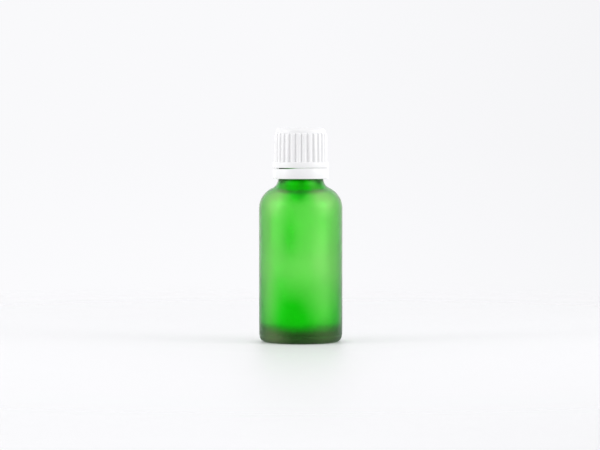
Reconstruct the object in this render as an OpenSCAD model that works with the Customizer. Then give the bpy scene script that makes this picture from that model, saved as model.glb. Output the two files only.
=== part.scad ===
// Dropper bottle of moulded glass, 30 ml, with a ribbed screw cap, a tamper-evident band and
// a vertical dropper insert.
// Millimetres, +Z up. The origin is the centre of the foot ring, on the surface that it stands on.
// The front of the bottle faces -Y.

/* [Glass body] */
// Outside diameter of the cylindrical body
body_d = 33.4; // [31:0.2:36]
// Height of the glass, from the foot ring to the rim
glass_h = 78.6; // [74:0.2:90]
// Thickness of the body wall
wall_t = 2.35; // [1.8:0.05:2.8]
// Thickness of the base where it meets the wall
base_t = 4; // [2.6:0.1:4.5]
// Radius of the rounded shoulder
shoulder_r = 9; // [8:0.1:9.4]
// Radius of the hollow curve between shoulder and neck
neck_fillet_r = 4; // [2.5:0.1:4.2]
// Radius of the rounded heel
heel_r = 2.5; // [1.5:0.1:3]
// Height of the push-up under the base
pushup_h = 1.1; // [0.6:0.1:1.6]

/* [Neck finish] */
// Diameter of the plain neck under the transfer bead
neck_d = 18; // [17.4:0.1:18.2]
// Bore of the neck
bore_d = 12.2; // [12:0.1:12.4]
// Diameter over the thread crests
thread_d = 17.8; // [17.6:0.05:17.9]
// Diameter at the thread root
thread_root_d = 15.7; // [15.5:0.05:15.9]
// Rise of the thread in one turn
thread_pitch = 3; // [2.8:0.1:3.2]
// Length of the thread, in turns
thread_turns = 1.75; // [1.25:0.05:1.75]
// Diameter of the bead that holds the tamper band on the neck
bead_d = 19.1; // [18.8:0.1:19.2]

/* [Screw cap] */
// Height of the cap's top above the glass rim
cap_rise = 7.1; // [7:0.1:8]
// Depth of the cap's skirt below the glass rim
cap_skirt = 8.9; // [8.8:0.05:9.2]
// Outside diameter of the collar
collar_d = 22.26; // [22:0.02:22.6]
// Height of the collar
collar_h = 2.3; // [2:0.1:3]
// Outside diameter of the cap between its ribs, at the crown
crown_d = 20; // [19.9:0.05:20.2]
// Number of grip ribs
rib_count = 28; // [20:1:32]
// Diameter over the ribs at the collar
rib_d = 21.5; // [21.2:0.05:21.7]

/* [Tamper band] */
// Height of the band
band_h = 4; // [3.4:0.1:4.1]
// Outside diameter of the band
band_d = 22.16; // [22:0.02:22.4]
// Height of the slit between cap and band
slit_h = 0.4; // [0.35:0.05:0.5]
// Number of breakable bridges across the slit
bridge_count = 5; // [4:1:12]
// Number of catches inside the band
catch_count = 8; // [6:1:10]

/* [Dropper] */
// Diameter of the hole that the drops leave by
drop_hole_d = 1.2; // [0.8:0.1:1.4]
// Height of the nozzle above the flange
nozzle_h = 3.88; // [3.5:0.02:3.9]
// Outside diameter of the air tube
air_tube_d = 2.2; // [2:0.05:2.2]
// Bore of the air tube
air_bore_d = 1.2; // [0.8:0.1:1.2]
// Length of the air tube
air_tube_l = 21.2; // [16:0.2:24]

/* [Hidden] */
$fn = 96;
arc_steps = 14;
thread_steps_per_turn = 36;

glass_green = [0.12, 0.62, 0.16, 0.6];
cap_white = [0.96, 0.96, 0.95];
plug_natural = [0.90, 0.91, 0.88];
foam_white = [0.93, 0.93, 0.91];

// Directions seen from above, counter-clockwise from +X: the front is at 270.
front_a = 270;
groove_a = front_a + 1.55;       // a groove between two ribs
bridge_a = front_a + 9.1;        // the bridge nearest the front
vent_a = 90;                     // the dropper's air vent

// Glass: radii and heights
body_r = body_d / 2;
inner_r = body_r - wall_t;
heel_step = 0.2;                 // the base mould is this much smaller than the body mould
seam_z = 2.8;                    // height of the parting line between the two moulds
foot_out_r = body_r - heel_step - heel_r;
foot_ring_w = 1.7;
foot_in_r = foot_out_r - foot_ring_w;
inner_corner_w = 3;              // the wall thickens towards the base
inner_corner_h = 4.2;
floor_crown = 0.9;               // how far the inside floor rises at its centre
rim_z = glass_h;
shoulder_z = rim_z - 25.1;       // where the straight body ends
shoulder_c = [body_r - shoulder_r, shoulder_z];
neck_r = neck_d / 2;
bore_r = bore_d / 2;
bore_fillet_r = 8;
thread_crest_r = thread_d / 2;
thread_root_r = thread_root_d / 2;
bead_r = bead_d / 2;
bead_z = rim_z - 10.3;           // middle of the bead
bead_half_h = 1;
bead_low_round = 0.5;
bead_top_round = 0.7;
bead_slope_h = 0.9;              // from the bead's top down to the thread root
rim_round = 0.55;
bore_edge_round = 0.3;

// Thread: both ridges have the same flanks
flank_a = 27.6;                  // degrees from the radial direction
glass_crest_w = 0.6;
cap_crest_w = 0.5;
thread_z = rim_z - 6.7;          // middle of the glass thread at its lower end
thread_fade_a = 40;              // the ridge runs out over this angle at each end
flank_gap = 0.2;                 // between the two ridges when the cap is down
thread_engaged = 0.8;            // radial overlap of the two ridges
cap_thread_crest_r = thread_crest_r - thread_engaged;
cap_thread_drop =
    (glass_crest_w + cap_crest_w) / 2 + thread_engaged * tan(flank_a) + flank_gap;

// Cap: radii and heights
mould_edge = 0.15;               // bevel on the cap's and the band's edges
cap_top_z = rim_z + cap_rise;
cap_low_z = rim_z - cap_skirt;
collar_top_z = cap_low_z + collar_h;
collar_r = collar_d / 2;
crown_r = crown_d / 2;
crown_round = 1.5;
cap_in_r = 9.15;
cap_relief_r = 9.75;             // clears the bead on the neck
cap_relief_h = 1.45;
cap_relief_slope_h = 0.6;
collar_round = 0.4;
ceiling_round = 0.8;
cap_top_t = 1.3;
ceiling_z = cap_top_z - cap_top_t;
rib_low_r = rib_d / 2;
rib_top_r = rib_low_r - 0.22;
rib_base_r = crown_r - 0.25;     // inside the core, so that the ribs grow out of it
rib_w = 1.76;                    // at rib_base_r
rib_top_z = cap_top_z - 2;
rib_round = 0.9;                 // at the ribs' upper ends
rib_pitch_a = 360 / rib_count;

// Dropper plug: radii and heights
flange_t = 0.9;
flange_r = 7.4;
flange_z = rim_z + flange_t;
web_t = 1.9;
web_z = flange_z - web_t;        // underside of the web
plug_r = bore_r - 0.1;
plug_in_r = plug_r - 1.05;
plug_low_z = rim_z - 8.2;
plug_bead = 0.15;                // how far the sealing beads stand out
plug_bead_drops = [2, 4.2, 6.4]; // from the rim down to each sealing bead
plug_lead_h = 0.9;               // taper that leads the plug into the bore
plug_lead_w = 0.5;
nozzle_base_r = 2.1;
nozzle_tip_r = 1.7;
nozzle_tip_edge = 0.25;
nozzle_foot = 0.3;               // bevel between nozzle and flange
nozzle_z = flange_z + nozzle_h;
drop_hole_r = drop_hole_d / 2;
vent_x = 3.05;                   // from the axis of the bottle to the vent
vent_hole_r = 0.4;
air_tube_r = air_tube_d / 2;
socket_grip = 0.01;              // the socket is this much tighter than the tube
socket_r = air_tube_r - socket_grip;
socket_top_z = web_z - 0.4;
boss_r = 2;
boss_low_z = web_z - 4.2;

// Liner, and the skirt in the cap that holds it and presses on the plug's flange
liner_t = 0.95;
liner_r = 6.05;
liner_top_z = ceiling_z - 0.03;
liner_low_z = liner_top_z - liner_t;
skirt_in_r = 6.15;
skirt_out_r = 7.1;
skirt_low_z = flange_z + 0.05;
skirt_edge = 0.3;
liner_bead_r = 5.85;             // the bead that the liner snaps over
liner_bead_gap = 0.1;
liner_bead_h = 0.35;

// Tamper band
band_r = band_d / 2;
band_top_z = cap_low_z - slit_h;
band_low_z = band_top_z - band_h;
band_in_r = 10.05;
catch_r = 9.2;
catch_root_r = band_in_r + 0.3;  // inside the band's wall
catch_h = 1.2;
catch_gap = 0.2;                 // from a catch up to the bead on the neck
catch_low_z = bead_z - bead_half_h - catch_gap - catch_h;
catch_a = 22;                    // degrees round the band that one catch takes up
bridge_low_r = 0.38;
bridge_tip_r = 0.25;
bridge_gap = 0.02;               // from a bridge's tip to the cap
bridge_ring_r = band_r - 0.43;

// Points on an arc about c, from angle a0 to a1
function arc(c, r, a0, a1, n = arc_steps) = [
    for (i = [0 : n])
        let (a = a0 + (a1 - a0) * i / n)
        [c[0] + r * cos(a), c[1] + r * sin(a)]
];

// Centre of the arc of radius r that touches a vertical line at line_r and the shoulder's arc
function fillet_centre(shoulder, line_r, r) = [
    line_r + r,
    shoulder_c[1] + sqrt(pow(shoulder + r, 2) - pow(line_r + r - shoulder_c[0], 2))
];

// Direction from point p to point q
function bearing(p, q) = atan2(q[1] - p[1], q[0] - p[0]);

// Shoulder and neck curve, from the straight body up to the straight neck
function shoulder_curve(shoulder, line_r, r) =
    let (
        c = fillet_centre(shoulder, line_r, r),
        a = bearing(shoulder_c, c)
    )
    concat(arc(shoulder_c, shoulder, 0, a), arc(c, r, a + 180, 180));

function reversed(points) = [for (i = [len(points) - 1 : -1 : 0]) points[i]];

// A helical ridge about +Z. Its crest sinks into the wall at both ends, over thread_fade_a.
// buried_r and sunk_r lie inside the wall; crest_w is the width at the crest.
module thread_ridge(crest_r, buried_r, sunk_r, crest_w, low_z, start_a, turns) {
    steps = ceil(turns * thread_steps_per_turn);
    side = sign(crest_r - buried_r);
    function half_w(r) = crest_w / 2 + abs(crest_r - r) * tan(flank_a);
    function fade(a) = min(1, a / thread_fade_a, (turns * 360 - a) / thread_fade_a);
    function at(a, r, dz) =
        [r * cos(a + start_a), r * sin(a + start_a), low_z + thread_pitch * a / 360 + dz];
    stations = [
        for (i = [0 : steps])
            let (
                a = turns * 360 * i / steps,
                r = sunk_r + (crest_r - sunk_r) * fade(a)
            )
            [
                at(a, buried_r, -half_w(buried_r)),
                at(a, r, -half_w(r)),
                at(a, r, half_w(r)),
                at(a, buried_r, half_w(buried_r))
            ]
    ];
    points = [for (s = stations) each s];
    flanks = [
        for (i = [0 : steps - 1], k = [0 : 3])
            let (
                p = 4 * i + k,
                q = 4 * i + (k + 1) % 4
            )
            each [[p, q, q + 4], [p, q + 4, p + 4]]
    ];
    n = 4 * steps;
    ends = [[3, 2, 1], [3, 1, 0], [n, n + 1, n + 2], [n, n + 2, n + 3]];
    faces = concat(flanks, ends);
    polyhedron(points, side > 0 ? faces : [for (f = faces) reversed(f)], convexity = 6);
}

// Half section of the glass, without its thread
glass_profile = let (
    pushup_r = (pow(foot_in_r, 2) + pow(pushup_h, 2)) / (2 * pushup_h),
    bore_curve = shoulder_curve(shoulder_r - wall_t, bore_r, bore_fillet_r)
) concat(
    arc([0, pushup_h - pushup_r], pushup_r, 90, 90 - asin(foot_in_r / pushup_r)),
    arc([foot_out_r, heel_r], heel_r, -90, 0),
    [[foot_out_r + heel_r, seam_z], [body_r, seam_z + heel_step / 2]],
    shoulder_curve(shoulder_r, neck_r, neck_fillet_r),
    [[neck_r, bead_z - bead_half_h]],
    arc([bead_r - bead_low_round, bead_z - bead_half_h + bead_low_round], bead_low_round, -60, 0, 5),
    arc([bead_r - bead_top_round, bead_z + bead_half_h - bead_top_round], bead_top_round, 0, 70, 5),
    [[thread_root_r, bead_z + bead_half_h + bead_slope_h]],
    arc([thread_root_r - rim_round, rim_z - rim_round], rim_round, 0, 90, 6),
    arc([bore_r + bore_edge_round, rim_z - bore_edge_round], bore_edge_round, 90, 180, 4),
    reversed(bore_curve),
    [for (p = arc([0, 0], 1, 0, -90)) [
        inner_r + inner_corner_w * (p[0] - 1),
        base_t + inner_corner_h * (p[1] + 1)
    ]],
    [[0, base_t + floor_crown]]
);

module glass_bottle() {
    color(glass_green) {
        rotate_extrude() polygon(glass_profile);
        thread_ridge(
            crest_r = thread_crest_r,
            buried_r = thread_root_r - 0.5,
            sunk_r = thread_root_r - 0.1,
            crest_w = glass_crest_w,
            low_z = thread_z,
            start_a = 0,
            turns = thread_turns
        );
    }
}

// One sealing bead on the plug's skirt, as points of its outline, from top to bottom
function plug_bead_points(z) = [
    [plug_r, z + 0.35],
    [plug_r + plug_bead, z + 0.08],
    [plug_r + plug_bead, z - 0.08],
    [plug_r, z - 0.35]
];

plug_profile = concat(
    [
        [drop_hole_r, nozzle_z],
        [nozzle_tip_r - nozzle_tip_edge, nozzle_z],
        [nozzle_tip_r, nozzle_z - nozzle_tip_edge],
        [nozzle_base_r, flange_z + nozzle_foot],
        [nozzle_base_r + nozzle_foot, flange_z],
        [flange_r - mould_edge, flange_z],
        [flange_r, flange_z - mould_edge],
        [flange_r, rim_z],
        [plug_r, rim_z]
    ],
    [for (drop = plug_bead_drops) each plug_bead_points(rim_z - drop)],
    [
        [plug_r, plug_low_z + plug_lead_h],
        [plug_r - plug_lead_w, plug_low_z],
        [plug_in_r, plug_low_z],
        [plug_in_r, web_z],
        [drop_hole_r, web_z]
    ]
);

module dropper_plug() {
    color(plug_natural)
    difference() {
        union() {
            rotate_extrude() polygon(plug_profile);
            rotate(vent_a) translate([vent_x, 0, boss_low_z])
                cylinder(r = boss_r, h = web_z - boss_low_z + 0.2);
        }
        rotate(vent_a) translate([vent_x, 0, 0]) {
            translate([0, 0, boss_low_z - 1])
                cylinder(r = socket_r, h = socket_top_z - boss_low_z + 1);
            translate([0, 0, socket_top_z - 1])
                cylinder(r = vent_hole_r, h = flange_z - socket_top_z + 2);
        }
    }
}

// The tube's lower end is cut at a slant, so that it can't seal against the glass.
module air_tube() {
    slant_a = 35;
    low_z = socket_top_z - air_tube_l;
    color(foam_white)
    rotate(vent_a) translate([vent_x, 0, 0])
    difference() {
        translate([0, 0, low_z]) cylinder(r = air_tube_r, h = air_tube_l);
        translate([0, 0, low_z - 1]) cylinder(d = air_bore_d, h = air_tube_l + 2);
        translate([air_tube_r, 0, low_z]) rotate([0, slant_a, 0])
            translate([-10, -5, -10]) cube([20, 10, 10]);
    }
}

module cap_liner() {
    edge = 0.12;
    color(foam_white)
    rotate_extrude() polygon([
        [0, liner_low_z],
        [liner_r - edge, liner_low_z],
        [liner_r, liner_low_z + edge],
        [liner_r, liner_top_z - edge],
        [liner_r - edge, liner_top_z],
        [0, liner_top_z]
    ]);
}

// Half section of the cap, without its ribs and thread
cap_profile = concat(
    [
        [cap_relief_r, cap_low_z],
        [collar_r - mould_edge, cap_low_z],
        [collar_r, cap_low_z + mould_edge]
    ],
    arc([collar_r - collar_round, collar_top_z - collar_round], collar_round, 0, 90, 6),
    [[crown_r, collar_top_z]],
    arc([crown_r - crown_round, cap_top_z - crown_round], crown_round, 0, 90),
    [
        [0, cap_top_z],
        [0, ceiling_z],
        [skirt_in_r, ceiling_z],
        [skirt_in_r, liner_low_z],
        [liner_bead_r, liner_low_z - liner_bead_gap],
        [skirt_in_r, liner_low_z - liner_bead_gap - liner_bead_h],
        [skirt_in_r, skirt_low_z + skirt_edge],
        [skirt_in_r + skirt_edge, skirt_low_z],
        [skirt_out_r - skirt_edge, skirt_low_z],
        [skirt_out_r, skirt_low_z + skirt_edge],
        [skirt_out_r, ceiling_z]
    ],
    arc([cap_in_r - ceiling_round, ceiling_z - ceiling_round], ceiling_round, 90, 0, 6),
    [
        [cap_in_r, cap_low_z + cap_relief_h + cap_relief_slope_h],
        [cap_relief_r, cap_low_z + cap_relief_h]
    ]
);

// Outline of the cap across its ribs: each rib is half an ellipse
rib_outline = [
    for (i = [0 : rib_count - 1], t = [0 : 30 : 180])
        let (
            r = rib_base_r + (rib_low_r - rib_base_r) * sin(t),
            across = -rib_w / 2 * cos(t),
            a = groove_a + (i + 0.5) * rib_pitch_a + across / rib_base_r * 180 / PI
        )
        [r * cos(a), r * sin(a)]
];

// Ribs with their draft and their rounded upper ends
module cap_ribs() {
    low_z = collar_top_z - 0.2;
    envelope = concat(
        [[cap_in_r + 0.3, low_z], [rib_low_r, low_z]],
        arc([rib_top_r - rib_round, rib_top_z - rib_round], rib_round, 0, 90, 8),
        [[cap_in_r + 0.3, rib_top_z]]
    );
    intersection() {
        translate([0, 0, low_z - 1]) linear_extrude(rib_top_z - low_z + 2) polygon(rib_outline);
        rotate_extrude() polygon(envelope);
    }
}

module screw_cap() {
    cap_thread_start_a = 180;
    color(cap_white) {
        rotate_extrude() polygon(cap_profile);
        cap_ribs();
        thread_ridge(
            crest_r = cap_thread_crest_r,
            buried_r = cap_in_r + 0.35,
            sunk_r = cap_in_r + 0.1,
            crest_w = cap_crest_w,
            low_z = thread_z - cap_thread_drop + thread_pitch * cap_thread_start_a / 360,
            start_a = cap_thread_start_a,
            turns = 1.5
        );
    }
}

module tamper_band() {
    color(cap_white) {
        rotate_extrude() polygon([
            [band_in_r, band_low_z],
            [band_r - mould_edge, band_low_z],
            [band_r, band_low_z + mould_edge],
            [band_r, band_top_z - mould_edge],
            [band_r - mould_edge, band_top_z],
            [band_in_r, band_top_z]
        ]);
        for (i = [0 : catch_count - 1])
            rotate(i * 360 / catch_count)
            rotate_extrude(angle = catch_a) polygon([
                [catch_root_r, catch_low_z],
                [catch_r, catch_low_z + 0.7 * catch_h],
                [catch_r, catch_low_z + catch_h],
                [catch_root_r, catch_low_z + catch_h]
            ]);
    }
}

module tamper_bridges() {
    color(cap_white)
    for (i = [0 : bridge_count - 1])
        rotate(bridge_a + i * 360 / bridge_count) translate([bridge_ring_r, 0, band_top_z])
            cylinder(r1 = bridge_low_r, r2 = bridge_tip_r, h = slit_h - bridge_gap);
}

glass_bottle();
dropper_plug();
air_tube();
cap_liner();
screw_cap();
tamper_band();
tamper_bridges();
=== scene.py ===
"""Looks of a frosted glass dropper bottle with a ribbed cap and a tamper-evident band.

Every CAD node is replaced by a finer mesh of the same size, made here by turning a profile round the
bottle's axis. Lengths are millimetres until a mesh is built, which scales them to metres.
Angles are seen from above, counter-clockwise from +X, so the front of the bottle is at 270 degrees.
"""

import math

import bmesh
import bpy
import numpy as np
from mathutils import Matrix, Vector


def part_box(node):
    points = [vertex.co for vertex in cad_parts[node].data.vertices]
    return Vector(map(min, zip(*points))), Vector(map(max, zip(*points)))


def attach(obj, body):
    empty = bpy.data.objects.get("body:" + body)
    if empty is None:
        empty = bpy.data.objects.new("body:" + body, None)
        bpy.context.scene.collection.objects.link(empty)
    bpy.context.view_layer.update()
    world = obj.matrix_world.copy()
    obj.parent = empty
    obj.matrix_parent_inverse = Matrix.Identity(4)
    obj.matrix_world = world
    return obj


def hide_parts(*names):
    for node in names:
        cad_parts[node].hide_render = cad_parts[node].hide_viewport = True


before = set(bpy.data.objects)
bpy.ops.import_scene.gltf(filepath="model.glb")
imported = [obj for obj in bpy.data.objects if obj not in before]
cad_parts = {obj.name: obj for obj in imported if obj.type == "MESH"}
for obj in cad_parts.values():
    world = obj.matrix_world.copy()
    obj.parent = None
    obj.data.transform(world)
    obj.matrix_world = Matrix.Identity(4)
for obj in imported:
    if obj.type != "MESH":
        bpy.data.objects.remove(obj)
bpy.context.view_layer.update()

MM = 0.001
TAU = 2 * math.pi
FRONT = math.radians(270)
SHARP = math.radians(32)      # edges sharper than this are shaded as edges


# ---------------------------------------------------------------- sizes from the frame

def low_high(node):
    """Lowest and highest z of a CAD node, in millimetres."""
    low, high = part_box(node)
    return low.z / MM, high.z / MM


def outer_radius(node):
    """Largest radius of a CAD node, in millimetres."""
    low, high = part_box(node)
    return (high.x - low.x) / 2 / MM


RIM_Z = low_high("glass_bottle")[1]
BODY_R = outer_radius("glass_bottle")
CAP_LOW_Z, CAP_TOP_Z = low_high("screw_cap")
COLLAR_R = outer_radius("screw_cap")
BAND_LOW_Z = low_high("tamper_band")[0]
BAND_R = outer_radius("tamper_band")
LINER_LOW_Z, LINER_TOP_Z = low_high("cap_liner")
LINER_R = outer_radius("cap_liner")
PLUG_LOW_Z, NOZZLE_Z = low_high("dropper_plug")
FLANGE_R = outer_radius("dropper_plug")
TUBE_LOW_Z, TUBE_TOP_Z = low_high("air_tube")
TUBE_R = outer_radius("air_tube")

# Neck and thread, as in the CAD model
BORE_R = 6.1
NECK_R = 9.0
BEAD_R = 9.55
BEAD_Z = RIM_Z - 10.3
THREAD_ROOT_R = 7.85
THREAD_H = 1.05
THREAD_Z = RIM_Z - 6.7        # middle of the glass thread at its lower end
THREAD_FADE = math.radians(40)
PITCH = 3.0
FLANK = math.tan(math.radians(27.6))
FLANK_GAP = 0.2               # between the two ridges when the cap is down
GLASS_TURNS = 1.75
GLASS_CREST_W = 0.6
CAP_TURNS = 1.5
CAP_CREST_W = 0.5
ENGAGED = 0.8                 # radial overlap of the two ridges
THREAD_STEP = 0.11            # height between the rows of a threaded wall


# ---------------------------------------------------------------- profiles and meshes

def arc(centre, radius, start, end, steps):
    """Points (r, z) on an arc, from the start angle to the end angle, in degrees."""
    return [
        (centre[0] + radius * math.cos(math.radians(a)), centre[1] + radius * math.sin(math.radians(a)))
        for a in np.linspace(start, end, steps + 1)
    ]


def line(start, end, steps):
    """Points from start to end, without start itself."""
    return [
        (start[0] + (end[0] - start[0]) * i / steps, start[1] + (end[1] - start[1]) * i / steps)
        for i in range(1, steps + 1)
    ]


def smoothstep(x):
    """0 up to x = 0, 1 from x = 1 on, and a soft step between."""
    x = np.clip(x, 0.0, 1.0)
    return x * x * (3 - 2 * x)


def turned_mesh(name, rows, angles, closed=False):
    """A mesh from rows (r, z) turned through the angles. r and z are numbers, or arrays with one value
    for each angle. A row whose r is the number 0 is one point on the axis. closed joins the last row
    to the first."""
    mesh = bpy.data.meshes.new(name)
    cos, sin, count = np.cos(angles), np.sin(angles), len(angles)
    points, starts, faces = [], [], []
    for r, z in rows:
        starts.append(len(points))
        if np.isscalar(r) and r == 0:
            points.append((0.0, 0.0, float(z)))
            continue
        ring = np.stack([r * cos, r * sin, z * np.ones(count)], axis=1)
        points.extend(map(tuple, ring))
    sizes = [b - a for a, b in zip(starts, starts[1:] + [len(points)])]
    pairs = list(zip(range(len(rows)), range(1, len(rows))))
    if closed:
        pairs.append((len(rows) - 1, 0))
    for a, b in pairs:
        for i in range(count):
            j = (i + 1) % count
            lower = [starts[a]] if sizes[a] == 1 else [starts[a] + i, starts[a] + j]
            upper = [starts[b]] if sizes[b] == 1 else [starts[b] + j, starts[b] + i]
            faces.append(lower + upper)
    mesh.from_pydata([(x * MM, y * MM, z * MM) for x, y, z in points], [], faces)
    return finished(name, mesh)


def smooth_shaded(mesh):
    mesh.polygons.foreach_set("use_smooth", [True] * len(mesh.polygons))
    mesh.set_sharp_from_angle(angle=SHARP)
    mesh.update()


def finished(name, mesh):
    """An object for the mesh, with its normals outwards and smooth shading."""
    work = bmesh.new()
    work.from_mesh(mesh)
    bmesh.ops.recalc_face_normals(work, faces=work.faces)
    work.to_mesh(mesh)
    work.free()
    smooth_shaded(mesh)
    piece = bpy.data.objects.new(name, mesh)
    bpy.context.scene.collection.objects.link(piece)
    return piece


def thread_ridge(angles, z, low_z, start, turns, crest_w, height):
    """Height of a helical ridge above its wall, at each angle, at height z. It runs out at both ends."""
    flank_soft = 0.35             # how far the flanks are rounded, from 0 to 1
    ridge = np.zeros(len(angles))
    along = (angles - start) % TAU
    for turn in range(int(turns) + 1):
        a = along + turn * TAU
        inside = (a >= 0) & (a <= turns * TAU)
        top = height * np.clip(np.minimum(a, turns * TAU - a) / THREAD_FADE, 0, 1)
        off = np.abs(z - (low_z + PITCH * a / TAU))
        flank = np.clip((crest_w / 2 + height * FLANK - off) / FLANK, 0, height)
        soft = height * smoothstep(flank / height) * flank_soft + flank * (1 - flank_soft)
        ridge = np.where(inside, np.maximum(ridge, np.minimum(soft, top)), ridge)
    return ridge


def spots_at(angles, z, spots):
    """Sum of soft spots round the bottle, at these angles and heights. Each spot is its angle from the
    front and its half-width, in degrees, its height and half-height, and its amount."""
    total = np.zeros(len(angles))
    for turn, half_turn, height, half_height, amount in spots:
        off = ((np.degrees(angles - FRONT) - turn + 180) % 360 - 180) / half_turn
        total += amount * np.exp(-(off**2) - ((z - height) / half_height) ** 2)
    return total


# ---------------------------------------------------------------- materials

def new_material(name):
    """A material with an empty node tree but for its Principled shader. Returns all three."""
    material = bpy.data.materials.new(name)
    material.use_nodes = True
    tree = material.node_tree
    return material, tree, tree.nodes["Principled BSDF"]


def node(tree, kind, **values):
    """A node with its inputs and its own settings given by name."""
    made = tree.nodes.new(kind)
    for key, value in values.items():
        if key in made.inputs:
            made.inputs[key].default_value = value
        else:
            setattr(made, key, value)
    return made


def noise(tree, scale, detail):
    """Noise in the object's own space. scale is in features for each metre."""
    place = node(tree, "ShaderNodeTexCoord")
    made = node(tree, "ShaderNodeTexNoise", Scale=scale, Detail=detail, Roughness=0.55)
    tree.links.new(place.outputs["Object"], made.inputs["Vector"])
    return made.outputs["Fac"]


def remap(tree, source, low, high, from_low=0.3, from_high=0.7):
    """From low to high as the source goes between its two values. The usual two suit noise."""
    made = node(tree, "ShaderNodeMapRange")
    limits = {"From Min": from_low, "From Max": from_high, "To Min": low, "To Max": high}
    for socket, value in limits.items():
        made.inputs[socket].default_value = value
    tree.links.new(source, made.inputs["Value"])
    return made.outputs["Result"]


def bump(tree, shader, heights):
    """Chained bumps. heights lists (source, strength, distance in metres)."""
    normal = None
    for source, strength, distance in heights:
        made = node(tree, "ShaderNodeBump", Strength=strength, Distance=distance)
        tree.links.new(source, made.inputs["Height"])
        if normal is not None:
            tree.links.new(normal, made.inputs["Normal"])
        normal = made.outputs["Normal"]
    tree.links.new(normal, shader.inputs["Normal"])


GLASS_DENSITY = 1400.0                  # for each metre of glass
GLASS_TINT = (0.214, 0.915, 0.071, 1)
GLASS_SHEEN = (0.12, 1.0, 0.12, 1)      # the tint of what the surface reflects
# Colour of the light that the etching scatters back, and so of the painted highlights and reflections
HAZE_AND_HIGHLIGHT_COLOUR = (1, 1, 0.62, 1)
MOST_HAZE_AND_HIGHLIGHT = 0.2                           # share of the light that the etching scatters back at most, painted highlights included
POLISHED = 0.08                         # roughness of the inside


def frosted_glass():
    """Green glass, coloured by what it absorbs. The attribute frost is 1 where it is etched and 0 where it
    is smooth. The etching scatters a little light back, more where the second attribute is high, which
    also holds painted highlights and painted reflections on the etched outside."""
    material, tree, shader = new_material("frosted_glass")
    shader.inputs["Base Color"].default_value = HAZE_AND_HIGHLIGHT_COLOUR
    haze_and_highlight = node(tree, "ShaderNodeAttribute", attribute_name="haze_and_highlight")
    clear = remap(tree, haze_and_highlight.outputs["Fac"], 1.0, 1.0 - MOST_HAZE_AND_HIGHLIGHT, 0.0, 1.0)
    tree.links.new(clear, shader.inputs["Transmission Weight"])
    shader.inputs["IOR"].default_value = 1.52
    shader.inputs["Specular Tint"].default_value = GLASS_SHEEN
    frost = node(tree, "ShaderNodeAttribute", attribute_name="frost")
    etched = remap(tree, noise(tree, 260, 4), 0.34, 0.42)
    mix = node(tree, "ShaderNodeMix", data_type="FLOAT")
    mix.inputs["A"].default_value = POLISHED
    tree.links.new(frost.outputs["Fac"], mix.inputs["Factor"])
    tree.links.new(etched, mix.inputs["B"])
    tree.links.new(mix.outputs["Result"], shader.inputs["Roughness"])
    grain, waves = noise(tree, 6000, 2), noise(tree, 420, 2)
    bump(tree, shader, [(grain, 0.25, 0.00003), (waves, 0.2, 0.0001)])
    absorb = node(tree, "ShaderNodeVolumeAbsorption", Density=GLASS_DENSITY)
    absorb.inputs["Color"].default_value = GLASS_TINT
    tree.links.new(absorb.outputs["Volume"], tree.nodes["Material Output"].inputs["Volume"])
    return material


def toned(tree, shader, patches, darker, lighter):
    """Base colour that goes from one tone to the other with the noise."""
    tone = node(tree, "ShaderNodeMix", data_type="RGBA")
    tone.inputs["A"].default_value = (*darker, 1)
    tone.inputs["B"].default_value = (*lighter, 1)
    tree.links.new(patches, tone.inputs["Factor"])
    tree.links.new(tone.outputs["Result"], shader.inputs["Base Color"])


def white_plastic():
    """Satin white polypropylene."""
    material, tree, shader = new_material("white_plastic")
    toned(tree, shader, noise(tree, 120, 4), (0.82, 0.82, 0.825), (0.85, 0.85, 0.85))
    worn = remap(tree, noise(tree, 900, 5), 0.34, 0.44)
    tree.links.new(worn, shader.inputs["Roughness"])
    shader.inputs["IOR"].default_value = 1.49
    shader.inputs["Subsurface Weight"].default_value = 0.03
    shader.inputs["Subsurface Radius"].default_value = (0.0012, 0.0011, 0.0010)
    shader.inputs["Subsurface Scale"].default_value = 1.0
    bump(tree, shader, [(noise(tree, 9000, 2), 0.15, 0.00002)])
    return material


def milky_plastic(name, colour, roughness, subsurface):
    """Natural polyethylene: light goes a little way into it."""
    material, tree, shader = new_material(name)
    toned(tree, shader, noise(tree, 300, 4), [0.94 * c for c in colour], colour)
    worn = remap(tree, noise(tree, 1500, 4), roughness, roughness + 0.1)
    tree.links.new(worn, shader.inputs["Roughness"])
    shader.inputs["Subsurface Weight"].default_value = subsurface
    shader.inputs["Subsurface Radius"].default_value = (0.0016, 0.0016, 0.0015)
    shader.inputs["Subsurface Scale"].default_value = 1.0
    shader.inputs["IOR"].default_value = 1.51
    bump(tree, shader, [(noise(tree, 5000, 3), 0.2, 0.00003)])
    return material


# ---------------------------------------------------------------- glass bottle

WALL = 2.35
SEAM_H = 0.05
SEAM_W = 0.16
SIDE_R = BODY_R - SEAM_H      # the body between its two seams
HEEL_R = 2.5
HEEL_OUT_R = SIDE_R - 0.15
FOOT_OUT_R = HEEL_OUT_R - HEEL_R
FOOT_IN_R = FOOT_OUT_R - 1.7
PUSHUP_H = 1.1
PARTING_Z = 2.8               # the ring where the mould's base meets its sides
SIDE_LOW_Z = PARTING_Z + 0.42
SHOULDER_R = 9.0
SHOULDER_Z = RIM_Z - 25.1
SHOULDER_C = (BODY_R - SHOULDER_R, SHOULDER_Z)
NECK_FILLET_R = 4.0
BORE_FILLET_R = 8.0
RIM_ROUND = 0.55
LIP_ROUND = 0.3
BASE_T = 4.0
BASE_CROWN_H = 0.9
CORNER_W = 3.0                # the rounded corner inside, between wall and base
CORNER_H = 4.2

# Where the wall is thicker, in millimetres, as blown glass is uneven
WALL_SPOTS = (
    (-24, 17, 38, 8.5, 0.8), (-4, 26, 12, 7.5, 0.8), (0, 20, 56, 6, 0.4),
    (34, 16, 36, 12, -0.5), (8, 14, 26, 5, -0.4), (-46, 10, 44, 9, -0.3),
    (120, 30, 20, 12, 0.35), (200, 25, 40, 10, -0.3), (160, 30, 30, 14, 0.2),
)
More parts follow.
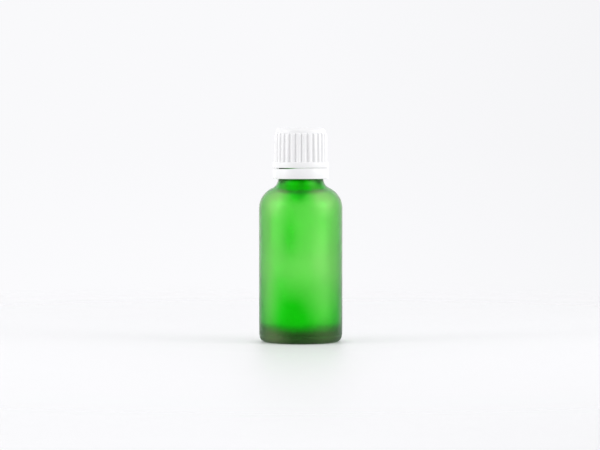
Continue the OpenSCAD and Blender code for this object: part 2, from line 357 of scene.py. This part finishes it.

# Where the etching scatters more or less light, with painted light in the spots: the two strong ones on
# the shoulders are painted highlights of the side lamps, and the others paint the veil of reflected light
# lighter in some places and darker in others
HAZE_AND_HIGHLIGHT_SPOTS = (
    (0, 60, 31, 5, 0.2), (28, 14, 37, 13, 0.35), (32, 16, 14, 9, 0.25), (-50, 16, 40, 30, 0.12),
    (-50, 14, 13, 9, 0.22), (-15, 10, 43, 9, -0.3), (-40, 14, 56.3, 4, 0.8), (36, 15, 56.6, 3.6, 0.9),
    (-4, 18, 59.5, 3.4, -0.6), (28, 14, 63.5, 3, 0.2), (-40, 20, 2, 3, 0.3), (40, 20, 2, 3, 0.1),
    (-72, 14, 34, 26, -0.4), (72, 14, 34, 26, -0.4), (-12, 16, 13, 8, -0.25), (-30, 12, 24, 8, -0.15),
)


def haze_and_highlight_of(angles, z):
    """How hazy the etching is, from 0 to 1, at these angles and heights, with the painted highlights and
    reflections of the spots. But for the spots it grows up the lower body, is even above that and stops at
    the neck, and the foot has a little."""
    body = 0.5 * smoothstep((z - 6) / 24) * smoothstep((62 - z) / 3)
    foot = 0.12 * smoothstep((5 - z) / 1.2)
    return np.clip(body + foot + spots_at(angles, z, HAZE_AND_HIGHLIGHT_SPOTS), 0, 1)


def neck_curve(shoulder_r, line_r, fillet_r):
    """The shoulder's arc, and the fillet from it up to an upright line."""
    r, z = SHOULDER_C
    centre_r = line_r + fillet_r
    centre_z = z + math.sqrt((shoulder_r + fillet_r) ** 2 - (centre_r - r) ** 2)
    a = math.degrees(math.atan2(centre_z - z, centre_r - r))
    fillet = arc((centre_r, centre_z), fillet_r, a + 180, 180, 12)
    return arc(SHOULDER_C, shoulder_r, 0, a, 16), fillet[1:]


def foot_rows(angles):
    """From the middle of the push-up to the heel. A ring is moulded in the push-up, and the foot is
    stippled."""
    mark_r, mark_w, mark_h = 5.6, 0.35, 0.07
    stipples, stipple_h = 72, 0.144
    ball_r = (FOOT_IN_R**2 + PUSHUP_H**2) / (2 * PUSHUP_H)
    ball_z = PUSHUP_H - ball_r
    rows = [(0, PUSHUP_H)]
    for r in np.linspace(0.6, FOOT_IN_R - 0.2, 22):
        mark = mark_h * math.exp(-(((r - mark_r) / mark_w) ** 2))
        rows.append((r, ball_z + math.sqrt(ball_r**2 - r**2) + mark))
    stipple = stipple_h * (0.5 - 0.5 * np.cos(stipples * angles))
    for t in np.linspace(0, 1, 7):
        share = math.sin(math.pi * t) ** 0.5 if 0 < t < 1 else 0.0
        rows.append((FOOT_IN_R + (FOOT_OUT_R - FOOT_IN_R) * t, share * stipple))
    return rows + arc((FOOT_OUT_R, HEEL_R), HEEL_R, -84, 0, 14)


def body_rows(angles):
    """From the heel, over the parting ring, up the body and the shoulder to the neck. The two halves of
    the mould leave a seam at the left and the right."""
    rows = [(HEEL_OUT_R, PARTING_Z - 0.24)]
    rows += arc((HEEL_OUT_R - 0.06, PARTING_Z), 0.22, -70, 70, 8)
    rows += [(HEEL_OUT_R + 0.01, PARTING_Z + 0.24), (SIDE_R - 0.04, PARTING_Z + 0.32)]
    rows += [(SIDE_R, SIDE_LOW_Z)]
    shoulder, neck = neck_curve(SHOULDER_R - SEAM_H, NECK_R, NECK_FILLET_R)
    seamed = line((SIDE_R, SIDE_LOW_Z), (SIDE_R, SHOULDER_Z), 12)
    seamed += shoulder[1:] + neck
    seamed += line((NECK_R, neck[-1][1]), (NECK_R, BEAD_Z - 1.25), 4)
    seam = sum(
        np.exp(-(((angles - at + math.pi) % TAU - math.pi) * BODY_R / SEAM_W) ** 2)
        for at in (0, math.pi)
    )
    return rows + [(r + SEAM_H * seam, z) for r, z in seamed]


def finish_rows(angles):
    """The bead that holds the band, the thread, and the rim over to the bore."""
    rows = [(NECK_R + 0.06, BEAD_Z - 1.08), (NECK_R + 0.3, BEAD_Z - 0.98)]
    rows += arc((BEAD_R - 0.5, BEAD_Z - 0.5), 0.5, -75, 0, 6)
    rows += arc((BEAD_R - 0.7, BEAD_Z + 0.3), 0.7, 0, 70, 7)
    rows += line((BEAD_R - 0.46, BEAD_Z + 0.96), (THREAD_ROOT_R + 0.06, BEAD_Z + 1.82), 3)
    rows += [(THREAD_ROOT_R, BEAD_Z + 1.98)]
    for z in np.arange(BEAD_Z + 2.1, RIM_Z - 0.75, THREAD_STEP):
        ridge = thread_ridge(angles, z, THREAD_Z, 0.0, GLASS_TURNS, GLASS_CREST_W, THREAD_H)
        rows.append((THREAD_ROOT_R + ridge, z))
    rows += arc((THREAD_ROOT_R - RIM_ROUND, RIM_Z - RIM_ROUND), RIM_ROUND, 0, 90, 8)
    return rows + arc((BORE_R + LIP_ROUND, RIM_Z - LIP_ROUND), LIP_ROUND, 90, 180, 6)


def inside_rows(angles):
    """Down the bore and the uneven wall to the middle of the base."""
    inner_r = BODY_R - WALL
    floor_r = inner_r - CORNER_W

    def uneven(z):
        share = smoothstep((z - BASE_T) / CORNER_H) * smoothstep((SHOULDER_Z + 7 - z) / 10)
        return -share * spots_at(angles, z, WALL_SPOTS)

    shoulder, neck = neck_curve(SHOULDER_R - WALL, BORE_R, BORE_FILLET_R)
    wall = neck[::-1][1:] + shoulder[::-1]
    wall += line((inner_r, SHOULDER_Z), (inner_r, BASE_T + CORNER_H), 24)
    wall += [
        (floor_r + CORNER_W * x, BASE_T + CORNER_H * (y + 1)) for x, y in arc((0, 0), 1, 0, -90, 16)[1:]
    ]
    rows = line((BORE_R, RIM_Z - LIP_ROUND), (BORE_R, neck[-1][1]), 8)
    rows += [(r + uneven(z), z) for r, z in wall]
    for r in np.linspace(floor_r, 0.5, 12)[1:]:
        rows.append((r, BASE_T + BASE_CROWN_H * smoothstep(1 - r / floor_r)))
    return rows + [(0, BASE_T + BASE_CROWN_H)]


def glass_angles():
    """Even columns, but for a few close ones across each seam."""
    columns = 216
    seam_half = math.radians(1.7)
    across = np.radians([-1.6, -1.1, -0.75, -0.5, -0.25, 0, 0.25, 0.5, 0.75, 1.1, 1.6])
    even = np.linspace(0, TAU, columns, endpoint=False)
    clear = np.abs((even + math.pi / 2) % math.pi - math.pi / 2) > seam_half
    seams = [across % TAU, (across + math.pi) % TAU]
    return np.unique(np.round(np.concatenate([even[clear], *seams]), 9))


def glass_bottle():
    """The glass in one piece, from its push-up round the outside and down the inside."""
    angles = glass_angles()
    outside = foot_rows(angles) + body_rows(angles) + finish_rows(angles)
    piece = turned_mesh("bottle_glass", outside + inside_rows(angles), angles)
    total = len(piece.data.vertices)
    etched = np.ones(total, np.float32)
    etched[1 + (len(outside) - 1) * len(angles):] = 0
    points = np.empty(3 * total, np.float32)
    piece.data.vertices.foreach_get("co", points)
    x, y, z = points.reshape(-1, 3).T / MM
    # The etching's haze, with the painted highlights and reflections of the spots
    haze_and_highlight = (haze_and_highlight_of(np.arctan2(y, x), z) * etched).astype(np.float32)
    for name, values in (("frost", etched), ("haze_and_highlight", haze_and_highlight)):
        piece.data.attributes.new(name, "FLOAT", "POINT").data.foreach_set("value", values)
    return piece


glass = glass_bottle()
glass.data.materials.append(frosted_glass())
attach(glass, "bottle")
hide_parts("glass_bottle")


# ---------------------------------------------------------------- screw cap

CROWN_R = 10.0
CROWN_ROUND = 1.5
COLLAR_TOP_Z = CAP_LOW_Z + 2.3
COLLAR_ROUND = 0.3
CAP_LOW_ROUND = 0.18
CAP_IN_R = 9.15
CAP_RELIEF_R = 9.75           # clears the bead on the neck
CEILING_Z = CAP_TOP_Z - 1.3
CEILING_ROUND = 0.8
SKIRT_IN_R = 6.15             # the skirt that holds the liner
SKIRT_OUT_R = 7.1
SKIRT_LOW_Z = RIM_Z + 0.95
CAP_CREST_R = THREAD_ROOT_R + THREAD_H - ENGAGED
CAP_THREAD_DROP = (GLASS_CREST_W + CAP_CREST_W) / 2 + ENGAGED * FLANK + FLANK_GAP

RIBS = 28
RIB_PITCH = TAU / RIBS
GROOVE = FRONT + math.radians(1.55)
RIB_BASE_R = 9.75
RIB_HALF_W = 0.88             # at the base
RIB_LOW_R = 10.75             # the ribs lean in from here
RIB_TOP_R = 10.53             # to here
RIB_TOP_Z = CAP_TOP_Z - 2
RIB_ROUND = 0.9
LEDGE_ROUND = 0.25            # the fillet between grooves and collar


def rib_angles():
    """Columns that follow each rib's rounded side, and its groove."""
    across = [-RIB_HALF_W * math.cos(t) for t in np.radians(np.arange(0, 181, 15))]
    offsets = [RIB_PITCH / 2 + x / RIB_BASE_R for x in across]
    offsets += [0.0, offsets[0] / 2, RIB_PITCH - offsets[0] / 2]
    return np.sort(np.concatenate([GROOVE + i * RIB_PITCH + np.array(offsets) for i in range(RIBS)]))


def cap_outside(angles):
    """From the middle of the cap's top down the ribbed wall to its lower edge."""
    # The mark of the mould's gate, as radius and depth
    gate = ((0, 0.10), (0.25, 0.06), (0.45, 0.14), (0.7, 0.16), (0.95, 0.12), (1.15, 0.04), (1.4, 0.0))
    groove_round = 0.10
    x = ((angles - GROOVE) % RIB_PITCH - RIB_PITCH / 2) * RIB_BASE_R
    rib = RIB_BASE_R + (RIB_LOW_R - RIB_BASE_R) * np.sqrt(np.clip(1 - (x / RIB_HALF_W) ** 2, 0, 1))

    def wall(envelope):
        """Ribs cut to the envelope, on the crown's wall, with a soft corner in the groove."""
        proud = np.minimum(rib, envelope) - CROWN_R
        soft = np.clip(0.5 + 0.5 * proud / groove_round, 0, 1)
        return CROWN_R + proud * soft + groove_round * soft * (1 - soft)

    rows = [(r, CAP_TOP_Z - depth) for r, depth in gate]
    rows += [(r, CAP_TOP_Z) for r in (3.0, 5.0, 7.0, 8.0)]
    rows += arc((CROWN_R - CROWN_ROUND, CAP_TOP_Z - CROWN_ROUND), CROWN_ROUND, 90, 0, 14)
    rows += [(CROWN_R, RIB_TOP_Z + 0.12), (CROWN_R, RIB_TOP_Z + 0.02)]
    ribbed = arc((RIB_TOP_R - RIB_ROUND, RIB_TOP_Z - RIB_ROUND), RIB_ROUND, 88, 0, 12)
    ribbed += line((RIB_TOP_R, RIB_TOP_Z - RIB_ROUND), (RIB_LOW_R, COLLAR_TOP_Z + LEDGE_ROUND), 8)
    rows += [(wall(r), z) for r, z in ribbed]
    foot = wall(RIB_LOW_R)
    half_ledge = (COLLAR_R - COLLAR_ROUND - 0.05 - foot) / 2
    for a in np.radians((25, 50, 75, 90)):
        z = COLLAR_TOP_Z + LEDGE_ROUND * (1 - math.sin(a))
        rows.append((foot + half_ledge * (1 - math.cos(a)), z))
    rows += arc((COLLAR_R - COLLAR_ROUND, COLLAR_TOP_Z - COLLAR_ROUND), COLLAR_ROUND, 84, 0, 6)
    rows += arc((COLLAR_R - CAP_LOW_ROUND, CAP_LOW_Z + CAP_LOW_ROUND), CAP_LOW_ROUND, 0, -90, 4)
    return rows


def cap_inside(angles):
    """From the cap's lower edge up the threaded wall, over the ceiling and round the liner's skirt."""
    thread_low_z = THREAD_Z - CAP_THREAD_DROP + PITCH / 2
    rows = [(CAP_RELIEF_R + 0.08, CAP_LOW_Z), (CAP_RELIEF_R, CAP_LOW_Z + 0.08)]
    rows += [(CAP_RELIEF_R, CAP_LOW_Z + 1.45), (CAP_IN_R + 0.05, CAP_LOW_Z + 1.95)]
    for z in np.arange(CAP_LOW_Z + 2.05, CAP_LOW_Z + 8.4, THREAD_STEP):
        ridge = thread_ridge(
            angles, z, thread_low_z, math.pi, CAP_TURNS, CAP_CREST_W, CAP_IN_R - CAP_CREST_R
        )
        rows.append((CAP_IN_R - ridge, z))
    rows += [(CAP_IN_R, CAP_LOW_Z + 9.5)]
    rows += arc((CAP_IN_R - CEILING_ROUND, CEILING_Z - CEILING_ROUND), CEILING_ROUND, 0, 90, 6)
    rows += [(SKIRT_OUT_R + 0.2, CEILING_Z), (SKIRT_OUT_R, CEILING_Z - 0.2)]
    rows += [(SKIRT_OUT_R, SKIRT_LOW_Z + 0.3), (SKIRT_OUT_R - 0.3, SKIRT_LOW_Z)]
    rows += [(SKIRT_IN_R + 0.3, SKIRT_LOW_Z), (SKIRT_IN_R, SKIRT_LOW_Z + 0.3)]
    rows += [(SKIRT_IN_R, LINER_LOW_Z - 0.45), (SKIRT_IN_R - 0.3, LINER_LOW_Z - 0.1)]
    rows += [(SKIRT_IN_R, LINER_LOW_Z), (SKIRT_IN_R, CEILING_Z)]
    rows += [(4.0, CEILING_Z), (2.0, CEILING_Z), (0, CEILING_Z)]
    return rows


plastic = white_plastic()
cap_angles = rib_angles()
cap = turned_mesh("cap_shell", cap_outside(cap_angles) + cap_inside(cap_angles), cap_angles)
cap.data.materials.append(plastic)
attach(cap, "cap")
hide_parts("screw_cap")


# ---------------------------------------------------------------- tamper band and bridges

CATCHES = 8
CATCH_TURN = math.radians(22)
CATCH_SIDE = math.radians(1.0)      # a catch's end slopes over this
CATCH_R = 9.2
CATCH_H = 1.2
CATCH_LOW_Z = BEAD_Z - 2.4
BAND_IN_R = 10.05
BAND_TOP_ROUND = 0.16
BAND_LOW_ROUND = 0.2
BRIDGES = 5
BRIDGE_AT = FRONT + math.radians(9.1)


def slit_width(angles):
    """The slit over the band, in millimetres. It gapes from the left round to the back and is nearly
    closed on the right, as after a blade that cut a little askew."""
    turns = (np.degrees(angles - FRONT) + 180) % 360 - 180
    gape = np.maximum(smoothstep(-turns / 34), smoothstep((turns - 120) / 60))
    return 0.10 + 0.30 * gape - 0.04 * smoothstep(turns / 30) * (1 - smoothstep((turns - 110) / 30))


def band_angles():
    """Columns at each catch and, further apart, between the catches."""
    pitch = TAU / CATCHES
    catch = [-CATCH_SIDE, *np.linspace(0, CATCH_TURN, 6), CATCH_TURN + CATCH_SIDE]
    between = np.linspace(CATCH_TURN + CATCH_SIDE, pitch - CATCH_SIDE, 9)[1:-1]
    return np.sort(np.array([i * pitch + turn for i in range(CATCHES) for turn in (*catch, *between)]))


def band_ring():
    """The band, with its catches inside."""
    angles = band_angles()
    pitch = TAU / CATCHES
    local = angles % pitch
    local = np.where(local > pitch - CATCH_SIDE * 1.01, local - pitch, local)
    from_ends = np.minimum(local + CATCH_SIDE, CATCH_TURN + CATCH_SIDE - local)
    reach = (BAND_IN_R - CATCH_R) * np.clip(from_ends / CATCH_SIDE, 0, 1)
    top_z = CAP_LOW_Z - slit_width(angles)
    top_edge = arc((BAND_R - BAND_TOP_ROUND, -BAND_TOP_ROUND), BAND_TOP_ROUND, 90, 0, 4)
    rows = [(r, top_z + z) for r, z in top_edge]
    rows += arc((BAND_R - BAND_LOW_ROUND, BAND_LOW_Z + BAND_LOW_ROUND), BAND_LOW_ROUND, 0, -90, 4)
    rows += [(BAND_IN_R + 0.1, BAND_LOW_Z), (BAND_IN_R, BAND_LOW_Z + 0.1), (BAND_IN_R, CATCH_LOW_Z)]
    # A catch slopes inwards from below and ends in a flat ledge: its share of the reach, and its height
    for share, height in ((0.25, 0.21), (0.5, 0.42), (0.75, 0.63), (1, 0.84), (1, 1.12), (0.92, CATCH_H)):
        rows.append((BAND_IN_R - reach * share, CATCH_LOW_Z + height))
    rows += [(BAND_IN_R - reach * 0.1, CATCH_LOW_Z + CATCH_H), (BAND_IN_R, CATCH_LOW_Z + CATCH_H + 0.04)]
    rows += [(BAND_IN_R, top_z - 0.1), (BAND_IN_R + 0.1, top_z)]
    return turned_mesh("band_ring", rows, angles, closed=True)


band = band_ring()
band.data.materials.append(plastic)
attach(band, "band")
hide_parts("tamper_band")


def bridge_set():
    """Waisted bridges across the slit."""
    low_z, high_z = low_high("tamper_bridges")
    ring_r = BAND_R - 0.43
    # Radius at each share of the height
    profile = [(0.38, 0.0), (0.36, 0.08), (0.33, 0.22), (0.31, 0.45), (0.29, 0.75), (0.31, 1.0)]
    sides = 16
    points, faces = [], []
    for i in range(BRIDGES):
        at = BRIDGE_AT + i * TAU / BRIDGES
        first = len(points)
        for r, share in profile:
            for a in np.linspace(0, TAU, sides, endpoint=False):
                points.append((
                    (ring_r * math.cos(at) + r * math.cos(a)) * MM,
                    (ring_r * math.sin(at) + r * math.sin(a)) * MM,
                    (low_z + (high_z - low_z) * share) * MM,
                ))
        rings = [[first + k * sides + j for j in range(sides)] for k in range(len(profile))]
        for lower, upper in zip(rings, rings[1:]):
            for j in range(sides):
                after = (j + 1) % sides
                faces.append((lower[j], lower[after], upper[after], upper[j]))
        faces.append(tuple(reversed(rings[0])))
        faces.append(tuple(rings[-1]))
    mesh = bpy.data.meshes.new("bridge_set")
    mesh.from_pydata(points, [], faces)
    return finished("bridge_set", mesh)


bridges = bridge_set()
bridges.data.materials.append(plastic)
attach(bridges, "band")
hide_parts("tamper_bridges")


# ---------------------------------------------------------------- dropper plug, air tube, liner

VENT_Y = 3.05                 # from the bottle's axis back to the vent
VENT_HOLE_R = 0.4
BOSS_R = 2.0
DROP_HOLE_R = 0.6
NOZZLE_R = 1.7
NOZZLE_LOW_R = 2.1
NOZZLE_ROUND = 0.3
NOZZLE_FILLET_R = 0.45
FLANGE_Z = RIM_Z + 0.9
FLANGE_ROUND = 0.2
WEB_Z = FLANGE_Z - 1.9        # underside of the plug's floor
PLUG_R = BORE_R - 0.1
PLUG_IN_R = PLUG_R - 1.05
PLUG_BEAD_DROPS = (2, 4.2, 6.4)
# A sealing bead's outline, from top to bottom: how far it stands out, and its height
PLUG_BEAD = ((0, 0.36), (0.07, 0.15), (0.095, 0), (0.07, -0.15), (0, -0.36))


def vent_column(radius, low_z, high_z):
    """A plain cylinder on the vent's axis, which the plug is joined with or cut by."""
    angles = np.linspace(0, TAU, 48, endpoint=False)
    rows = [(0, low_z), (radius, low_z), (radius, high_z), (0, high_z)]
    piece = turned_mesh("cutter", rows, angles)
    piece.location = (0, VENT_Y * MM, 0)
    return piece


def combine(piece, other, operation):
    """Joins the piece with the other or cuts it by the other, which is used up."""
    made = piece.modifiers.new(operation, "BOOLEAN")
    made.operation = operation
    made.solver = "EXACT"
    made.object = other
    bpy.context.view_layer.update()
    evaluated = piece.evaluated_get(bpy.context.evaluated_depsgraph_get())
    mesh = bpy.data.meshes.new_from_object(evaluated)
    piece.modifiers.clear()
    piece.data = mesh
    bpy.data.objects.remove(other)


def dropper_plug():
    """Nozzle, flange and skirt, with the drop hole in the middle and the vent behind it."""
    angles = np.linspace(0, TAU, 128, endpoint=False)
    nozzle_low_z = FLANGE_Z + NOZZLE_FILLET_R
    rows = [(DROP_HOLE_R, NOZZLE_Z - 0.12), (DROP_HOLE_R + 0.12, NOZZLE_Z)]
    rows += arc((NOZZLE_R - NOZZLE_ROUND, NOZZLE_Z - NOZZLE_ROUND), NOZZLE_ROUND, 90, 5, 5)
    rows += line((NOZZLE_R, NOZZLE_Z - NOZZLE_ROUND), (NOZZLE_LOW_R, nozzle_low_z), 6)
    rows += arc((NOZZLE_LOW_R + NOZZLE_FILLET_R, nozzle_low_z), NOZZLE_FILLET_R, 180, 270, 5)[1:]
    rows += [(4.5, FLANGE_Z), (6.5, FLANGE_Z)]
    rows += arc((FLANGE_R - FLANGE_ROUND, FLANGE_Z - FLANGE_ROUND), FLANGE_ROUND, 90, 0, 4)
    rows += [(FLANGE_R, RIM_Z + 0.12), (FLANGE_R - 0.12, RIM_Z + 0.01), (PLUG_R, RIM_Z + 0.01)]
    rows += [(PLUG_R + out, RIM_Z - drop + up) for drop in PLUG_BEAD_DROPS for out, up in PLUG_BEAD]
    rows += [(PLUG_R, PLUG_LOW_Z + 0.9), (PLUG_R - 0.5, PLUG_LOW_Z), (PLUG_IN_R, PLUG_LOW_Z)]
    rows += [(PLUG_IN_R, WEB_Z + 0.3), (PLUG_IN_R - 0.3, WEB_Z), (DROP_HOLE_R, WEB_Z)]
    piece = turned_mesh("plug_insert", rows, angles, closed=True)
    combine(piece, vent_column(BOSS_R, WEB_Z - 4.2, WEB_Z + 0.2), "UNION")
    combine(piece, vent_column(TUBE_R, WEB_Z - 5, TUBE_TOP_Z), "DIFFERENCE")
    combine(piece, vent_column(VENT_HOLE_R, WEB_Z - 2, FLANGE_Z + 1), "DIFFERENCE")
    smooth_shaded(piece.data)
    return piece


plug = dropper_plug()
plug.data.materials.append(milky_plastic("natural_polyethylene", (0.88, 0.89, 0.87), 0.28, 0.4))
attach(plug, "bottle")
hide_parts("dropper_plug")


def air_tube():
    """A thin tube with a slanted lower end."""
    bore_r = 0.6
    edge = 0.05
    slope = math.tan(math.radians(35))
    angles = np.linspace(0, TAU, 48, endpoint=False)

    def low(r):
        return TUBE_LOW_Z + slope * (TUBE_R - r * np.sin(angles))

    rows = [(bore_r, TUBE_TOP_Z - edge), (bore_r + edge, TUBE_TOP_Z), (TUBE_R - edge, TUBE_TOP_Z)]
    rows += [(TUBE_R, TUBE_TOP_Z - edge)]
    rows += line((TUBE_R, TUBE_TOP_Z), (TUBE_R, TUBE_LOW_Z + 1.8), 11)[:-1]
    rows += [(TUBE_R, low(TUBE_R) + 0.04), (TUBE_R - 0.04, low(TUBE_R - 0.04)), (bore_r, low(bore_r))]
    rows += line((bore_r, TUBE_LOW_Z + 2), (bore_r, TUBE_TOP_Z - 1), 3)[:-1]
    piece = turned_mesh("vent_tube", rows, angles, closed=True)
    for vertex in piece.data.vertices:
        vertex.co.y += VENT_Y * MM
    return piece


tube = air_tube()
tube_plastic = milky_plastic("tube_plastic", (0.93, 0.95, 0.96), 0.3, 0.0)
tube_plastic.node_tree.nodes["Principled BSDF"].inputs["Transmission Weight"].default_value = 0.85
tube.data.materials.append(tube_plastic)
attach(tube, "bottle")
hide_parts("air_tube")


def liner_disc():
    """The sealing disc, with the ring that the nozzle has pressed into it."""
    edge = 0.12
    press_r, press_w, press_h = 1.65, 0.3, 0.06
    angles = np.linspace(0, TAU, 96, endpoint=False)
    rows = [(0, LINER_LOW_Z + 0.02)]
    for r in (0.5, 1.1, 1.3, 1.5, 1.7, 1.9, 2.1, 2.3, 2.6, 3.2, 4.2, 5.2):
        rows.append((r, LINER_LOW_Z + press_h * math.exp(-(((r - press_r) / press_w) ** 2))))
    rows += arc((LINER_R - edge, LINER_LOW_Z + edge), edge, -90, 0, 4)
    rows += arc((LINER_R - edge, LINER_TOP_Z - edge), edge, 0, 90, 4)
    rows += [(4.0, LINER_TOP_Z), (2.0, LINER_TOP_Z), (0, LINER_TOP_Z)]
    return turned_mesh("liner_disc", rows, angles)


liner = liner_disc()
liner.data.materials.append(milky_plastic("liner_foam", (0.90, 0.90, 0.88), 0.6, 0.2))
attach(liner, "liner")
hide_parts("cap_liner")


# ---------------------------------------------------------------- floor, light and camera

BACKGROUND = (0.948, 0.948, 0.965)
FLOOR_COLOUR = (0.45, 0.45, 0.457)
FLOOR_GLOW = 0.33
FLOOR_GLOW_IN_PAINTED_SHADE = 0.12       # under the bottle, less, as painted shade
MIDDLE = Vector((0, 0, 0.045))
CAMERA_X = -0.0003
CAMERA_Y = -1.0
CAMERA_Z = 0.0782
TARGET_Z = 0.0468


def floor_disc():
    """A pale floor that fades into the background away from the bottle."""
    mesh = bpy.data.meshes.new("floor")
    work = bmesh.new()
    bmesh.ops.create_circle(work, cap_ends=True, radius=4.0, segments=128)
    work.to_mesh(mesh)
    work.free()
    floor = bpy.data.objects.new("floor", mesh)
    bpy.context.scene.collection.objects.link(floor)
    material, tree, shader = new_material("floor")
    shader.inputs["Base Color"].default_value = (*FLOOR_COLOUR, 1)
    shader.inputs["Emission Color"].default_value = (1, 1, 1.01, 1)
    shader.inputs["Roughness"].default_value = 0.5
    shader.inputs["Specular IOR Level"].default_value = 0.25
    place = node(tree, "ShaderNodeTexCoord")
    length = node(tree, "ShaderNodeVectorMath", operation="LENGTH")
    tree.links.new(place.outputs["Object"], length.inputs[0])
    away = length.outputs["Value"]
    # Part of the floor's light is a painted glow of its own, so that shadows stay weak; under the bottle
    # the glow is less, as painted shade
    glow = remap(tree, away, FLOOR_GLOW_IN_PAINTED_SHADE, FLOOR_GLOW, 0.012, 0.022)
    tree.links.new(glow, shader.inputs["Emission Strength"])
    fade = remap(tree, away, 0, 1, 0.06, 0.4)
    clear = node(tree, "ShaderNodeBsdfTransparent")
    mix = node(tree, "ShaderNodeMixShader")
    tree.links.new(fade, mix.inputs["Fac"])
    tree.links.new(shader.outputs["BSDF"], mix.inputs[1])
    tree.links.new(clear.outputs["BSDF"], mix.inputs[2])
    tree.links.new(mix.outputs["Shader"], tree.nodes["Material Output"].inputs["Surface"])
    mesh.materials.append(material)


def aimed(name, data, place, target):
    """An object at the place that looks at the target."""
    made = bpy.data.objects.new(name, data)
    made.location = place
    made.rotation_euler = (target - Vector(place)).to_track_quat("-Z", "Y").to_euler()
    bpy.context.scene.collection.objects.link(made)
    return made


def softbox(name, place, size, power):
    """A square light that faces the middle of the bottle."""
    light = bpy.data.lights.new(name, "AREA")
    light.shape = "RECTANGLE"
    light.size = light.size_y = size
    light.energy = power
    aimed(name, light, place, MIDDLE)


SIDE_LIGHT = 1.15             # the room's strength at the sides and in front
BACK_LIGHT = 1.6              # behind the bottle
FRONT_LIGHT = 0.45            # where the photographer stands
EVEN_LIGHT = 0.79             # on matt surfaces, the same from all sides
PHOTOGRAPHER = (-0.3, -1.0, 0.0)


def studio():
    """A bright room, brightest behind the bottle, with the photographer as a dark patch in front and a
    softbox at the left and at the right. Matt surfaces get an even light instead, so that the bright
    back doesn't burn them out, and the camera sees a plain background."""
    world = bpy.data.worlds.new("studio")
    world.use_nodes = True
    tree = world.node_tree
    place = node(tree, "ShaderNodeTexCoord")

    def towards(x, y, z):
        made = node(tree, "ShaderNodeVectorMath", operation="DOT_PRODUCT")
        made.inputs[1].default_value = Vector((x, y, z)).normalized()
        tree.links.new(place.outputs["Generated"], made.inputs[0])
        return made.outputs["Value"]

    def product(a, b):
        made = node(tree, "ShaderNodeMath", operation="MULTIPLY")
        tree.links.new(a, made.inputs[0])
        tree.links.new(b, made.inputs[1])
        return made.outputs["Value"]

    def choice(is_so, otherwise):
        """A mix that takes its B where is_so is 1."""
        made = node(tree, "ShaderNodeMix", data_type="FLOAT")
        tree.links.new(is_so, made.inputs["Factor"])
        tree.links.new(otherwise, made.inputs["A"])
        return made

    room = remap(tree, towards(0, 1, 0), SIDE_LIGHT, BACK_LIGHT, 0.0, 0.9)
    patch = remap(tree, towards(*PHOTOGRAPHER), 1.0, FRONT_LIGHT / SIDE_LIGHT, 0.72, 0.94)
    rays = node(tree, "ShaderNodeLightPath")
    seen = choice(rays.outputs["Is Camera Ray"], product(room, patch))
    across = remap(tree, towards(1, 0, 0), 1.0, 0.965, 0.0, 0.12)
    down = remap(tree, towards(0, 0, -1), 1.0, 1.018, 0.0, 0.055)
    tree.links.new(product(across, down), seen.inputs["B"])
    even = choice(rays.outputs["Is Diffuse Ray"], seen.outputs["Result"])
    even.inputs["B"].default_value = EVEN_LIGHT
    back = tree.nodes["Background"]
    back.inputs["Color"].default_value = (*BACKGROUND, 1)
    tree.links.new(even.outputs["Result"], back.inputs["Strength"])
    # The light path node tells rays apart only where the world isn't sampled as a lamp
    world.cycles.sampling_method = "NONE"
    bpy.context.scene.world = world
    softbox("left", (-0.60, -0.22, 0.26), 0.30, 1.85)
    softbox("right", (0.60, -0.22, 0.26), 0.34, 2.1)


def camera():
    """A long lens a metre away, a little above the bottle."""
    lens = bpy.data.cameras.new("camera")
    lens.lens = 149.8
    lens.sensor_width = 36
    lens.clip_start = 0.05
    lens.clip_end = 50
    target = Vector((CAMERA_X, 0, TARGET_Z))
    bpy.context.scene.camera = aimed("camera", lens, (CAMERA_X, CAMERA_Y, CAMERA_Z), target)


floor_disc()
studio()
camera()
bpy.context.scene.view_settings.view_transform = "Standard"
